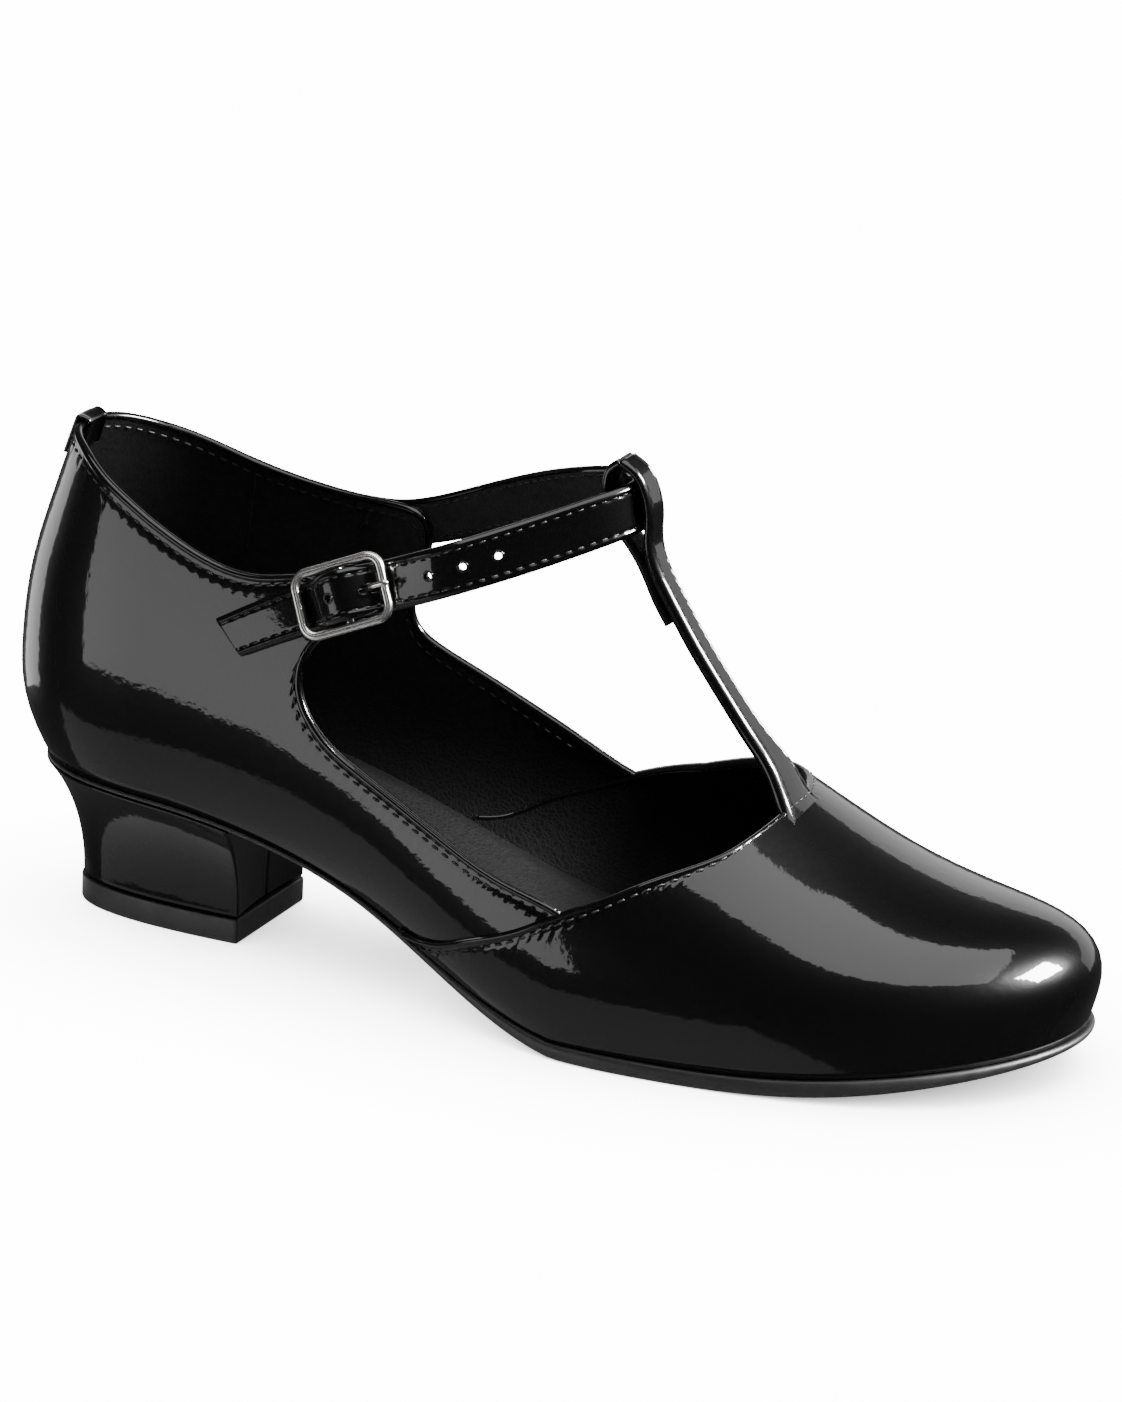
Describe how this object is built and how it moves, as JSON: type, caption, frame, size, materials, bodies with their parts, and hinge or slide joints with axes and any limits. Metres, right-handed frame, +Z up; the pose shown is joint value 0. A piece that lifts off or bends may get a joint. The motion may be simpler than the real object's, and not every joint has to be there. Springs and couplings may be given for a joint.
{
  "type": "t-strap dance shoe",
  "caption": "Closed-back dance shoe with a T-strap, a buckled ankle strap, a hollow upper and a low block heel.",
  "frame": {"origin": "middle of the heel lift's ground face", "axes": "+X along the shoe towards the toe, +Y towards the inner (medial) side, +Z up"},
  "size_m": [0.2505, 0.0876, 0.1197],
  "materials": {
    "patent": "glossy patent",
    "lining": "matt grained",
    "sole": "satin",
    "nickel": "polished nickel"
  },
  "bodies": {
    "root": {"outsole": "sole", "heel": "patent", "heel_lift": "sole", "insole": "lining", "upper": "patent", "t_strap": "patent", "ankle_strap": "patent", "buckle_frame": "nickel", "buckle_prong": "nickel", "buckle_keeper": "patent", "back_tab": "patent"}
  },
  "joints": []
}
